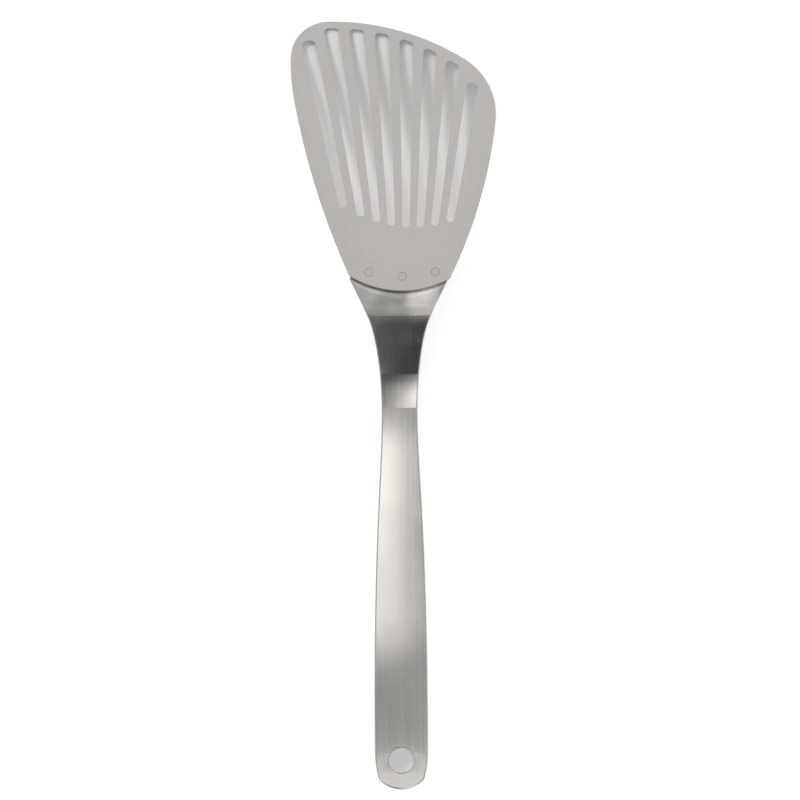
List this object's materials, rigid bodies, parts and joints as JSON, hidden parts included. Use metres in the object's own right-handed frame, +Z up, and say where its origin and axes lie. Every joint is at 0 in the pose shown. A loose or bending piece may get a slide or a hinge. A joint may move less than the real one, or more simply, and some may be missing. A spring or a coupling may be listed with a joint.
{
  "type": "fish spatula",
  "caption": "Slotted fish turner: thin angled blade with a fan of slots, riveted flush to a crowned steel strip handle with a hanging hole.",
  "frame": {"origin": "centre of the bounding box in plan, on the table", "axes": "+X to the right and +Y towards the blade's front edge, seen from above on the underside; +Z up from the table the turner lies on"},
  "size_m": [0.0802, 0.3006, 0.0215],
  "materials": {
    "blade_steel": "satin, bead blasted",
    "handle_steel": "brushed along its length",
    "rivet_steel": "satin"
  },
  "bodies": {
    "root": {"blade": "blade_steel", "handle": "handle_steel", "rivet_left": "rivet_steel", "rivet_centre": "rivet_steel", "rivet_right": "rivet_steel"}
  },
  "joints": []
}
